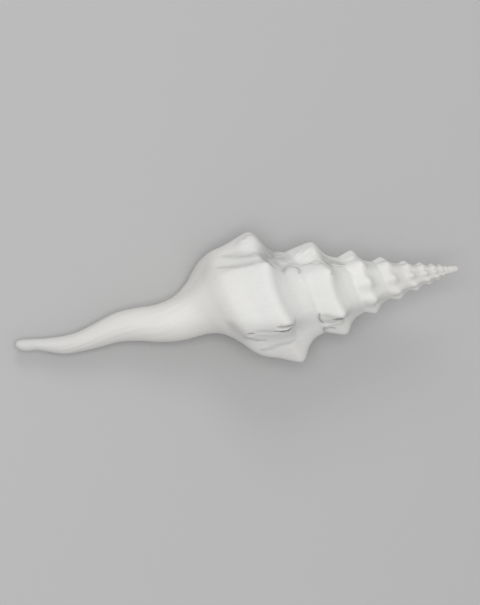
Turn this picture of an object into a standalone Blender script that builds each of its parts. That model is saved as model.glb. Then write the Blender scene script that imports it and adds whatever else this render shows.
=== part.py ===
"""Cyrtulus undatus, the wavy spindle shell: one heavy white sea shell, lying on its aperture.

The shell is one solid. Its outside follows the law by which such a shell grows: one whorl
outline, the same at every size, turns about the coiling axis and swells by WHORL_GROWTH each turn.
Distances along the axis are measured from the apex. Angles of growth are in degrees about the axis
and increase towards the outer lip. At 0 degrees the shell's back faces the viewer.
"""

import bisect
import math

import bmesh
import bpy
from mathutils import Matrix, Vector

# Size and growth. Metres and degrees.
LENGTH = 0.170
WHORL_GROWTH = 1.40
KEEL_DISTANCE = 0.0755
KEEL_ANGLE = 87.0
LIP_ANGLE = 110.0
APEX_RADIUS = 0.0012

# Shoulder nodes, newest first: the angle of growth at which each one stands, and how far the shell
# sinks below the straight chord on the way to the next older one, as a share of its radius. The
# first would come next, past the lip. Older whorls carry a node every NODE_SPACING degrees.
NODES_BY_AGE = [
    (146, 0.02), (87, 0.045), (34, 0.0), (-21, 0.075), (-78, 0.03), (-142, 0.02), (-206, 0.03),
    (-270, 0.045), (-336, 0.0), (-393, 0.07), (-450, 0.03), (-498, 0.02), (-544, 0.02),
    (-588, 0.03), (-630, 0.03), (-678, 0.02), (-715, 0.02), (-753, 0.03), (-805, 0.02),
]
NODE_SPACING = 45.0
OLDEST_HOLLOW = 0.02
OLDEST_ANGLE = -4600.0

# Whorl outline: distance from the apex as a share of the keel's, and radius as a share of the keel's.
WHORL_OUTLINE = [
    (0.700, 0.42), (0.760, 0.51), (0.842, 0.61), (0.890, 0.66), (0.920, 0.72), (0.950, 0.80),
    (0.975, 0.905), (1.000, 1.00), (1.046, 0.98), (1.086, 0.945), (1.130, 0.90), (1.200, 0.85),
    (1.244, 0.80), (1.286, 0.70), (1.3245, 0.58), (1.366, 0.475), (1.409, 0.388), (1.476, 0.29),
    (1.570, 0.19), (1.750, 0.08),
]
# How far the flats between two nodes reach the straight chord, along the same outline.
FLAT_SHARE = [
    (0.700, 0.20), (0.860, 0.40), (0.930, 0.80), (1.000, 1.00), (1.100, 0.95), (1.200, 0.75),
    (1.280, 0.45), (1.360, 0.20), (1.450, 0.0), (1.750, 0.0),
]
# Keel radius as a share of its distance from the apex: the spire is slightly hollow-sided.
KEEL_SLOPE = [
    (0.000, 0.400), (0.006, 0.385), (0.010, 0.355), (0.015, 0.335), (0.021, 0.322),
    (0.028, 0.338), (0.034, 0.350), (0.040, 0.366), (0.046, 0.379), (0.064, 0.380),
    (0.0755, 0.3645), (0.090, 0.360),
]
# Between its nodes the shoulder also lies further from the apex, by this much of its flatness.
SHOULDER_SAG = 0.22
# Towards the outer lip the base draws in sooner, by LIP_DRAW_IN of its distance from the apex. The
# ranges are of the share in the whorl outline and of the angle of growth.
LIP_DRAW_IN = 0.026
DRAW_IN_SHARES = (1.18, 1.30)
DRAW_IN_ANGLES = (20.0, 90.0)
SUTURE_BLEND = 0.006

# Siphonal canal, with the pillar that it continues: radius, and the bend of its centre sideways
# (towards the upper edge of the dorsal view) and towards the back, at distances from the apex.
CANAL_RADIUS = [
    (0.000, 0.0000), (0.045, 0.0033), (0.075, 0.0055), (0.090, 0.0068), (0.098, 0.0074),
    (0.1082, 0.0077), (0.1161, 0.0070), (0.1237, 0.0064), (0.1312, 0.0057), (0.1391, 0.0047),
    (0.1463, 0.0039), (0.1523, 0.0036), (0.1583, 0.0029), (0.1644, 0.0024), (0.1700, 0.0021),
]
CANAL_BEND = [
    (0.000, 0.0000), (0.096, 0.0000), (0.1082, -0.0006), (0.1161, -0.0006), (0.1237, 0.0002),
    (0.1312, 0.0004), (0.1391, -0.0009), (0.1463, -0.0021), (0.1523, -0.0025),
    (0.1583, -0.0015), (0.1644, -0.0002), (0.1700, 0.0006),
]
CANAL_LIFT = [(0.000, 0.0), (0.100, 0.0), (0.125, 0.0006), (0.150, 0.0022), (0.170, 0.0045)]
# The canal is blended into the whorls over CANAL_BLEND. The blend grows from nothing within
# CANAL_BLEND_STARTS and fades over the last CANAL_BLEND_ENDS of the canal.
CANAL_BLEND = 0.0030
CANAL_BLEND_STARTS = (0.05, 0.09)
CANAL_BLEND_ENDS = 0.03
TIP_ROUNDING = 0.0026

# Aperture: it narrows at CANAL_MOUTH into the slot, which faces SLOT_ANGLE.
CANAL_MOUTH = 0.1130
SLOT_ANGLE = 168.0
SLOT_WIDTH = 0.0020
SLOT_FLOOR = 0.35
SLOT_END = 0.0020
SUTURE_PHASE = 0.55
LIP_THICKNESS = 0.0019
WALL_THICKNESS = 0.0032
POSTERIOR_INSET = 0.0030
ANTERIOR_INSET = 0.0030
CAVITY_TURN = 180.0
CAVITY_MIN_GAP = 0.0008
COLUMELLA_RADIUS = [
    (0.000, 0.0000), (0.040, 0.0022), (0.070, 0.0042), (0.085, 0.0050), (0.100, 0.0042),
    (0.115, 0.0028),
]

# Mesh of the outside. Row phases share one whorl, 0 on the keel and SUTURE_PHASE at the suture.
ROW_PHASES = [0.0, 0.07, 0.20, 0.38, 0.55, 0.70, 0.84, 0.94]
FIRST_ROW_DISTANCE = 0.0056
BASE_ROWS = 9
CANAL_ROWS = 12
COLUMN_STEP = 9.0
EDGE_COLUMNS = 2
CAVITY_COLUMNS = 26

# The way it lies, on the outer lip and two shoulder nodes: rolled about the coiling axis, then
# tipped with the spire up.
LIE_ROLL = 1.6
LIE_PITCH = -10.1

SHELL_COLOUR = (0.80, 0.79, 0.75, 1.0)


def smooth_curve(points):
    """A function that passes smoothly through (position, value) points."""
    places = [place for place, _ in points]
    values = [value for _, value in points]
    slopes = []
    for i in range(len(points)):
        before = max(i - 1, 0)
        after = min(i + 1, len(points) - 1)
        slopes.append((values[after] - values[before]) / (places[after] - places[before]))

    def value_at(place):
        place = min(max(place, places[0]), places[-1])
        i = min(max(bisect.bisect_right(places, place) - 1, 0), len(places) - 2)
        step = places[i + 1] - places[i]
        s = (place - places[i]) / step
        return (values[i] * (1 + 2 * s) * (1 - s) ** 2 + values[i + 1] * s * s * (3 - 2 * s)
                + step * (slopes[i] * s * (1 - s) ** 2 - slopes[i + 1] * s * s * (1 - s)))

    return value_at


def smooth_step(low, high, value):
    """0 below low, 1 above high, and an S curve between."""
    s = min(max((value - low) / (high - low), 0.0), 1.0)
    return s * s * (3 - 2 * s)


def smooth_max(a, b, width):
    """The larger of two lengths, rounded where they cross."""
    if width <= 0.0:
        return max(a, b)
    share = max(width - abs(a - b), 0.0) / width
    return max(a, b) + width * share * share / 4


def blend(a, b, share):
    return a + (b - a) * share


whorl_outline = smooth_curve(WHORL_OUTLINE)
flat_share = smooth_curve(FLAT_SHARE)
keel_slope = smooth_curve(KEEL_SLOPE)
canal_radius = smooth_curve(CANAL_RADIUS)
canal_bend = smooth_curve(CANAL_BEND)
canal_lift = smooth_curve(CANAL_LIFT)
columella_radius = smooth_curve(COLUMELLA_RADIUS)


def all_nodes():
    """Every node as (angle, hollow on its older side), oldest first."""
    nodes = list(NODES_BY_AGE)
    while nodes[-1][0] > OLDEST_ANGLE:
        nodes.append((nodes[-1][0] - NODE_SPACING, OLDEST_HOLLOW))
    return sorted(nodes)


NODES = all_nodes()
NODE_ANGLES = [angle for angle, _ in NODES]


def node_flat(angle):
    """How far the keel lies below its nodes at an angle: the chord between two, and a hollow."""
    i = min(max(bisect.bisect_right(NODE_ANGLES, angle), 1), len(NODES) - 1)
    older = NODE_ANGLES[i - 1]
    newer, hollow = NODES[i]
    half_gap = math.radians(newer - older) / 2
    middle = math.radians(newer + older) / 2
    chord = math.cos(half_gap) / math.cos(math.radians(angle) - middle)
    across = (angle - older) / (newer - older)
    return 1 - chord + hollow * math.sin(math.pi * across) ** 2


def keel_distance(angle):
    """Distance of the keel from the apex at an angle of growth."""
    return KEEL_DISTANCE * WHORL_GROWTH ** ((angle - KEEL_ANGLE) / 360)


def coil_radius(angle, distance):
    """Radius of the coiled whorls at one angle of growth, with no later whorl over them."""
    radius = 0.0
    while angle > OLDEST_ANGLE:
        keel = keel_distance(angle)
        share = distance / keel
        if share > WHORL_OUTLINE[-1][0]:
            break
        if share > WHORL_OUTLINE[0][0]:
            flat = node_flat(angle)
            share /= 1 + SHOULDER_SAG * flat * flat_share(share)
            drawn_in = smooth_step(*DRAW_IN_SHARES, share) * smooth_step(*DRAW_IN_ANGLES, angle)
            share *= 1 + LIP_DRAW_IN * drawn_in
            whorl = whorl_outline(share) * (1 - flat_share(share) * flat)
            radius = smooth_max(radius, keel * keel_slope(keel) * whorl, SUTURE_BLEND * keel)
        angle -= 360
    return radius


def pillar_radius(distance):
    """Radius of the canal, with its rounded end, and of the pillar inside the body whorl."""
    to_tip = max(LENGTH - distance, 0.0)
    rounding = min(to_tip / TIP_ROUNDING, 1.0)
    return canal_radius(distance) * math.sqrt(rounding * (2 - rounding))


def outer_radius(angle, distance):
    """Radius of the shell's outside at an angle of growth."""
    coil = coil_radius(angle, distance)
    if distance < FIRST_ROW_DISTANCE:
        rounding = min(distance / APEX_RADIUS, 1.0)
        return max(coil, APEX_RADIUS) * math.sqrt(rounding * (2 - rounding))
    width = CANAL_BLEND * smooth_step(*CANAL_BLEND_STARTS, distance)
    width *= min((LENGTH - distance) / CANAL_BLEND_ENDS, 1.0)
    return smooth_max(coil, pillar_radius(distance), width)


def place(angle, radius, distance):
    """A point of the shell in its own frame: the axis on X, apex towards +X, back towards +Z."""
    turn = math.radians(angle)
    return Vector((-distance,
                   canal_bend(distance) + radius * math.sin(turn),
                   canal_lift(distance) + radius * math.cos(turn)))


def row_phases():
    """Phases of all helical rows, from the apex to the suture under the body whorl's side."""
    first = math.log(FIRST_ROW_DISTANCE / keel_distance(LIP_ANGLE)) / math.log(WHORL_GROWTH)
    rows = []
    for whorl in range(math.floor(first) - 1, 1):
        for phase in ROW_PHASES:
            if whorl + phase <= SUTURE_PHASE:
                rows.append(whorl + phase)
    last_hidden = max(i for i, phase in enumerate(rows) if phase <= first)
    return rows[last_hidden:]


SPIRE_PHASES = row_phases()
SEAM_ROW = len(SPIRE_PHASES) - 1
LIP_TOP_ROW = SEAM_ROW - len(ROW_PHASES)
MOUTH_ROW = SEAM_ROW + BASE_ROWS
LAST_ROW = MOUTH_ROW + CANAL_ROWS


def row_distance(row, angle):
    """Distance from the apex of a mesh row, at an angle of growth.

    Up to SEAM_ROW the rows wind with the whorls. Below it they straighten out by CANAL_MOUTH.
    """
    if row <= SEAM_ROW:
        wound = keel_distance(angle) * WHORL_GROWTH ** SPIRE_PHASES[row]
        return max(wound - FIRST_ROW_DISTANCE * math.exp(1 - wound / FIRST_ROW_DISTANCE), 0.0)
    if row <= MOUTH_ROW:
        share = (row - SEAM_ROW) / BASE_ROWS
        top = keel_distance(angle) * WHORL_GROWTH ** SUTURE_PHASE
        return top ** (1 - share) * CANAL_MOUTH ** share
    share = (row - MOUTH_ROW) / CANAL_ROWS
    return CANAL_MOUTH + (LENGTH - CANAL_MOUTH) * share * (1.5 - 0.5 * share ** 2)


def column_angles():
    """Angles of growth of the mesh columns over the last turn: some stand on its nodes."""
    stops = [LIP_ANGLE - 360]
    stops += [angle for angle in NODE_ANGLES if LIP_ANGLE - 360 < angle < LIP_ANGLE]
    stops.append(LIP_ANGLE)
    angles = [stops[0]]
    for start, end in zip(stops, stops[1:]):
        steps = math.ceil((end - start) / COLUMN_STEP - 0.3)
        angles += [start + (end - start) * (i + 1) / steps for i in range(steps)]
    return angles


COLUMN_ANGLES = column_angles()
COLUMNS = len(COLUMN_ANGLES) + 2 * EDGE_COLUMNS


def seam_angles(row):
    """First and last angle of growth of a mesh row: the inner lip's and the outer lip's."""
    towards_slot = smooth_step(SEAM_ROW, MOUTH_ROW, row)
    distance = row_distance(row, LIP_ANGLE)
    half_slot = 0.0
    if row > SEAM_ROW:
        half_slot = math.degrees(SLOT_WIDTH / 2 / max(pillar_radius(distance), SLOT_WIDTH))
    slot_turn = SLOT_ANGLE - LIP_ANGLE
    outer = LIP_ANGLE + towards_slot * (slot_turn - half_slot)
    inner = LIP_ANGLE - 360 + towards_slot * (slot_turn + half_slot)
    return inner, outer


def outside_point(column, row):
    """A mesh point of the outside: the edge columns at both ends turn inwards at the lips."""
    inner, outer = seam_angles(row)
    if column < EDGE_COLUMNS:
        inwards = 1 - column / EDGE_COLUMNS
        angle = inner
        swing = SLOT_ANGLE - 360 - inner
        thickness = 0.0
    elif column >= COLUMNS - EDGE_COLUMNS:
        inwards = 1 - (COLUMNS - 1 - column) / EDGE_COLUMNS
        angle = outer
        swing = SLOT_ANGLE - outer
        thickness = LIP_THICKNESS * smooth_step(LIP_TOP_ROW, LIP_TOP_ROW + len(ROW_PHASES) / 2, row)
    else:
        share = (COLUMN_ANGLES[column - EDGE_COLUMNS] - LIP_ANGLE + 360) / 360
        angle = blend(inner, outer, share)
        inwards = 0.0
        swing = 0.0
        thickness = 0.0
    distance = row_distance(row, angle)
    on_seam = column >= COLUMNS - 1 - EDGE_COLUMNS and row <= LIP_TOP_ROW
    radius = outer_radius(angle - 360 if on_seam else angle, distance)
    if inwards == 0.0 or radius == 0.0:
        return place(angle, radius, distance)
    in_slot = smooth_step(CANAL_MOUTH - SLOT_END, CANAL_MOUTH, distance)
    floor = blend(radius - thickness, SLOT_FLOOR * pillar_radius(distance), in_slot)
    drop = (1 - math.cos(math.pi * inwards)) / 2
    bulge = math.degrees(thickness / 2 / radius) * math.sin(math.pi * inwards)
    angle += blend(bulge, swing * inwards, in_slot)
    return place(angle, blend(radius, floor, drop), distance)


def cavity_point(column, row):
    """A mesh point of the cavity, which winds back from the aperture under the body whorl.

    Columns run from the outer lip along the outer wall to the cavity's end, and back over the
    whorl beneath and the columella to the inner lip. Both sides meet along the first and last row,
    and all rows meet at the cavity's end.
    """
    if column == 0:
        return outside_point(COLUMNS - 1, row)
    if column == CAVITY_COLUMNS:
        return outside_point(0, max(row, SEAM_ROW))
    half = CAVITY_COLUMNS // 2
    if column == half:
        row = (LIP_TOP_ROW + MOUTH_ROW) // 2
    inwards = 1 - abs(column - half) / half
    turn_back = CAVITY_TURN * math.sin(math.pi / 2 * inwards ** 1.2)
    settled = smooth_step(0.0, 30.0, turn_back)
    shrink = WHORL_GROWTH ** (-turn_back / 360)

    # Where this row leaves the outer lip, and where it ends up inside.
    _, lip = seam_angles(row)
    at_lip = row_distance(row, lip)
    top = row_distance(LIP_TOP_ROW, LIP_ANGLE)
    share = (at_lip - top) / (CANAL_MOUTH - top)
    inside = blend(top + POSTERIOR_INSET, CANAL_MOUTH - ANTERIOR_INSET, share)
    in_slot = smooth_step(CANAL_MOUTH - SLOT_END, CANAL_MOUTH, at_lip)
    if column <= half:
        start = blend(lip, SLOT_ANGLE, in_slot)
        distance = blend(at_lip, inside, settled) * shrink
    else:
        inner, _ = seam_angles(max(row, SEAM_ROW))
        start = blend(blend(inner + 360, SLOT_ANGLE, in_slot), lip, settled * (1 - in_slot))
        distance = blend(row_distance(max(row, SEAM_ROW), inner), inside, settled) * shrink
    angle = start - turn_back

    beneath = max(coil_radius(angle - 360, distance), columella_radius(distance))
    rim = blend(outer_radius(angle - 360, distance), SLOT_FLOOR * pillar_radius(distance), in_slot)
    floor = blend(rim, beneath, settled)
    thickness = blend(LIP_THICKNESS, WALL_THICKNESS * shrink, settled)
    wall = max(outer_radius(angle, distance) - thickness, floor + CAVITY_MIN_GAP)
    opening = blend(1.0, smooth_step(0.0, 0.12, min(share, 1 - share)), settled)
    opening *= math.sqrt(1 - inwards ** 4)
    if row in (LIP_TOP_ROW, MOUTH_ROW):
        opening = 0.0
    closed = blend(blend(floor, wall, 0.5), floor, smooth_step(0.5, 1.0, share))
    return place(angle, blend(closed, wall if column <= half else floor, opening), distance)


def grid_of_points(columns, rows, first_row, point_at):
    """A grid bent into shape: each of its vertices moves to the point for its column and row."""
    bm = bmesh.new()
    bmesh.ops.create_grid(bm, x_segments=columns - 1, y_segments=rows - 1, size=0.5)
    for vertex in bm.verts:
        column = round((vertex.co.x + 0.5) * (columns - 1))
        row = first_row + round((vertex.co.y + 0.5) * (rows - 1))
        vertex.co = point_at(column, row)
    mesh = bpy.data.meshes.new("grid")
    bm.to_mesh(mesh)
    bm.free()
    return mesh


def clear_scene():
    for item in list(bpy.data.objects):
        bpy.data.objects.remove(item, do_unlink=True)


def shell_material():
    material = bpy.data.materials.new("white_shell")
    material.use_nodes = True
    shader = material.node_tree.nodes["Principled BSDF"]
    shader.inputs["Base Color"].default_value = SHELL_COLOUR
    shader.inputs["Roughness"].default_value = 0.35
    shader.inputs["Metallic"].default_value = 0.0
    return material


def build_shell(collection):
    outside = grid_of_points(COLUMNS, LAST_ROW + 1, 0, outside_point)
    cavity = grid_of_points(CAVITY_COLUMNS + 1, MOUTH_ROW - LIP_TOP_ROW + 1, LIP_TOP_ROW, cavity_point)
    bm = bmesh.new()
    bm.from_mesh(outside)
    bm.from_mesh(cavity)
    bpy.data.meshes.remove(outside)
    bpy.data.meshes.remove(cavity)
    bmesh.ops.remove_doubles(bm, verts=bm.verts, dist=0.00002)
    bmesh.ops.dissolve_degenerate(bm, edges=bm.edges, dist=0.00001)
    bmesh.ops.triangulate(bm, faces=bm.faces)
    bmesh.ops.recalc_face_normals(bm, faces=bm.faces)
    mesh = bpy.data.meshes.new("shell")
    bm.to_mesh(mesh)
    bm.free()
    mesh.shade_smooth()
    mesh.materials.append(shell_material())
    shell = bpy.data.objects.new("shell", mesh)
    collection.objects.link(shell)
    return shell


def lay_down(shell):
    """Turns the shell on to its aperture and sets it on the ground, centred over the origin."""
    turn = (Matrix.Rotation(math.radians(LIE_PITCH), 4, "Y")
            @ Matrix.Rotation(math.radians(LIE_ROLL), 4, "X"))
    points = [turn @ vertex.co for vertex in shell.data.vertices]
    low = Vector([min(point[axis] for point in points) for axis in range(3)])
    high = Vector([max(point[axis] for point in points) for axis in range(3)])
    shell.rotation_euler = turn.to_euler()
    shell.location = (-(low.x + high.x) / 2, -(low.y + high.y) / 2, -low.z)


def main():
    clear_scene()
    collection = bpy.data.collections.new("cyrtulus_undatus_shell")
    bpy.context.scene.collection.children.link(collection)
    lay_down(build_shell(collection))


main()
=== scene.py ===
"""The looks of Cyrtulus undatus, the wavy spindle shell: one heavy white sea shell on its aperture.

The shell is one mesh. Two flat sheets, one for the outside and one for the cavity, are bent
by the law of growth: one whorl outline, the same at every size, turns about the coiling axis and
swells by WHORL_GROWTH each turn. Distances along the axis are measured from the apex. Angles of
growth are in degrees about the axis and increase towards the outer lip.
"""

import bisect
import math

import bmesh
import bpy
from mathutils import Matrix, Vector, noise


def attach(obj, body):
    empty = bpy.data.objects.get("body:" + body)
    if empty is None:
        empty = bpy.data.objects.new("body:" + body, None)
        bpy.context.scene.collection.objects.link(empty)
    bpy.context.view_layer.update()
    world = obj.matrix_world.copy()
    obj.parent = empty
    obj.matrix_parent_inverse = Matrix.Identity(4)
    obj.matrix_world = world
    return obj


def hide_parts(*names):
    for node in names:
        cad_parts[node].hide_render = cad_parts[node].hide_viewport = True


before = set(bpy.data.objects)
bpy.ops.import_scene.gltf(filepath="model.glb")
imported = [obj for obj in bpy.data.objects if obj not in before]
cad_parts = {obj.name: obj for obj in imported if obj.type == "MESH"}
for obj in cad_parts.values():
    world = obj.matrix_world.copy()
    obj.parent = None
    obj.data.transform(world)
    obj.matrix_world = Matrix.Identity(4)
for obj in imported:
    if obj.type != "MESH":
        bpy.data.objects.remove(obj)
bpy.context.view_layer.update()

# Size and growth. Metres and degrees.
LENGTH = 0.170
WHORL_GROWTH = 1.40
KEEL_DISTANCE = 0.0755
KEEL_ANGLE = 87.0
LIP_ANGLE = 110.0

# Shoulder nodes, newest first: the angle of growth at which each one stands, and how far the shell
# sinks below the straight chord on the way to the next older one, as a share of its radius.
NODES_BY_AGE = [
    (146, 0.02), (87, 0.045), (34, 0.0), (-21, 0.075), (-78, 0.03), (-142, 0.02), (-206, 0.03),
    (-270, 0.045), (-336, 0.0), (-393, 0.07), (-450, 0.03), (-498, 0.02), (-544, 0.02),
    (-588, 0.03), (-630, 0.045), (-678, 0.06), (-715, 0.048), (-753, 0.05), (-805, 0.03),
    (-850, 0.06), (-895, 0.07), (-940, 0.07), (-985, 0.06), (-1030, 0.05), (-1075, 0.05),
    (-1120, 0.06),
]
NODE_SPACING = 45.0
OLDEST_HOLLOW = 0.085
OLDEST_ANGLE = -4600.0
# Degrees over which a node's rib is rounded, along the whorl outline: crisp at the keel only.
NODE_ROUNDING = [
    (0.700, 14.0), (0.900, 12.0), (0.970, 5.0), (1.000, 3.5), (1.050, 4.5), (1.150, 8.0),
    (1.250, 13.0), (1.750, 20.0),
]
# Nodes and edges unlike the rest. Each: its angle, how much rounder it is, how much fuller its rib
# is below the keel, how far it leans to the apex, and how much higher it stands. Then the degrees
# round it that this reaches, and where along the whorl outline the height and the fullness end.
SPECIAL_NODES = [
    (87, 2.2, 0.0, 0.005, 0.055), (34, 0.0, 0.0, -0.021, 0.0), (6, 0.0, 0.0, -0.009, 0.0),
    (-21, 0.0, 0.0, -0.018, 0.0), (-78, 0.0, -0.03, -0.003, 0.02),
    (-270, 1.6, 0.45, 0.022, 0.0), (-450, 0.0, 0.15, -0.010, -0.01),
    (-805, 0.0, 0.0, -0.022, -0.02), (-1165, 0.0, 0.0, -0.010, -0.01),
]
SPECIAL_REACH = 45.0
SPECIAL_HEIGHT_ENDS = (1.18, 1.28)
FULLER_ENDS = (1.21, 1.42)
# How far along the outline a rounder node blurs it.
SOFT_OUTLINE = 0.011
# The nodes of the old whorls are rounder, and broader and leaning towards the apex: by how much, at
# full, and between which two angles of growth that comes on.
OLD_NODE_ROUNDING = 1.2
OLD_NODE_BROADENING = 0.35
OLD_NODE_LEANING = 0.02
OLD_NODE_ANGLES = (-450.0, -1200.0)

# Whorl outline: distance from the apex and radius, each as a share of the keel's.
WHORL_OUTLINE = [
    (0.700, 0.42), (0.760, 0.51), (0.842, 0.61), (0.890, 0.66), (0.920, 0.72), (0.947, 0.80),
    (0.968, 0.895), (0.984, 0.965), (1.003, 1.00), (1.025, 1.00), (1.050, 0.98), (1.086, 0.945),
    (1.130, 0.90), (1.200, 0.85), (1.244, 0.80), (1.286, 0.70), (1.3245, 0.58), (1.366, 0.475),
    (1.409, 0.388), (1.476, 0.29), (1.570, 0.19), (1.750, 0.08),
]
# How far the flats between two nodes reach the straight chord, along the same outline.
FLAT_SHARE = [
    (0.700, 0.15), (0.860, 0.33), (0.930, 0.56), (0.968, 0.82), (1.000, 1.00), (1.100, 0.95),
    (1.200, 0.75), (1.280, 0.45), (1.360, 0.20), (1.450, 0.0), (1.750, 0.0),
]
# How much further from the apex the keel of some old whorls lies than even growth would put it.
KEEL_SHIFT = [
    (0.000, 0.0), (0.008, 0.010), (0.012, 0.025), (0.017, 0.045), (0.022, 0.042), (0.028, 0.045),
    (0.033, 0.020), (0.039, 0.013), (0.046, 0.0), (0.200, 0.0),
]
# Keel radius as a share of its distance from the apex: the spire is slightly hollow-sided.
KEEL_SLOPE = [
    (0.000, 0.400), (0.006, 0.400), (0.010, 0.365), (0.015, 0.335), (0.021, 0.322),
    (0.029, 0.335), (0.034, 0.346), (0.040, 0.362), (0.046, 0.379), (0.064, 0.380),
    (0.0755, 0.3645), (0.090, 0.360),
]
# The base is drawn in near the outer lip: by how much, and where along the whorl outline and at
# which angles that comes on.
LIP_DRAW_IN = 0.026
DRAW_IN_SHARES = (1.18, 1.30)
DRAW_IN_ANGLES = (20.0, 90.0)
# How far the shoulder sags away from the apex between two nodes.
SHOULDER_SAG = 0.22
# Rounding of the sutures as a share of the keel's distance, on the old whorls and on the last, and
# the angles between which it changes. A suture lies this part of a whorl after the keel above it.
SUTURE_BLENDS = (0.006, 0.014)
SUTURE_BLEND_ANGLES = (-500.0, -150.0)
SUTURE_PHASE = 0.55

# The first whorls are a blunt, nearly smooth cone, out of which the nodes grow by APEX_CONE_ENDS.
APEX_CONE = [
    (0.0000, 0.0010), (0.0011, 0.00125), (0.0026, 0.00155), (0.0049, 0.0019), (0.0072, 0.0024),
    (0.0100, 0.0034), (0.0160, 0.0054),
]
APEX_CONE_ENDS = (0.0015, 0.0070)
APEX_ROUNDING = 0.0012

# Siphonal canal, with the pillar that it continues: radius, and the bend of its centre sideways
# and towards the back, at distances from the apex.
CANAL_RADIUS = [
    (0.000, 0.0000), (0.045, 0.0033), (0.075, 0.0055), (0.090, 0.0068), (0.098, 0.0074),
    (0.1082, 0.0077), (0.1161, 0.0070), (0.1237, 0.00625), (0.1312, 0.0055), (0.1391, 0.0046),
    (0.1463, 0.0037), (0.1523, 0.0034), (0.1583, 0.0026), (0.1622, 0.00215), (0.1655, 0.0023),
    (0.1680, 0.0021), (0.1700, 0.0019),
]
CANAL_BEND = [
    (0.000, 0.0000), (0.006, 0.00015), (0.022, 0.00015), (0.036, 0.0000), (0.096, 0.0000),
    (0.1082, -0.0006), (0.1161, -0.0005), (0.1237, 0.0005),
    (0.1312, 0.0007), (0.1391, -0.0008), (0.1463, -0.0020), (0.1523, -0.0022),
    (0.1583, -0.0011), (0.1622, -0.0002), (0.1655, 0.0001), (0.1700, 0.0009),
]
CANAL_LIFT = [(0.000, 0.0), (0.100, 0.0), (0.125, 0.0006), (0.150, 0.0022), (0.170, 0.0045)]
# Where the canal leaves the whorls: width of the rounding, the distances between which it comes on,
# and how far before the tip it begins to fade.
CANAL_BLEND = 0.0030
CANAL_BLEND_STARTS = (0.05, 0.09)
CANAL_BLEND_ENDS = 0.03
TIP_ROUNDING = 0.0026

# Aperture: it narrows at CANAL_MOUTH into the slot, which faces SLOT_ANGLE. The floor of the slot
# lies at a share of the canal's radius.
CANAL_MOUTH = 0.1130
SLOT_ANGLE = 168.0
SLOT_WIDTH = 0.0020
SLOT_FLOOR = 0.35
SLOT_END = 0.0050
LIP_THICKNESS = 0.0019
WALL_THICKNESS = 0.0032
POSTERIOR_INSET = 0.0030
ANTERIOR_INSET = 0.0030
# The cavity: how far it winds back, how its columns crowd at the lips, after how many degrees it
# has its own shape, how narrow it may get, and how its first and last rows close.
CAVITY_TURN = 180.0
CAVITY_CROWDING = 1.2
CAVITY_SETTLES = (0.0, 30.0)
CAVITY_MIN_GAP = 0.0008
CAVITY_CORNER_SHARE = 0.12
CAVITY_CLOSING_SHARES = (0.5, 1.0)
COLUMELLA_RADIUS = [
    (0.000, 0.0000), (0.040, 0.0022), (0.070, 0.0042), (0.085, 0.0050), (0.100, 0.0042),
    (0.115, 0.0028),
]

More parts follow.
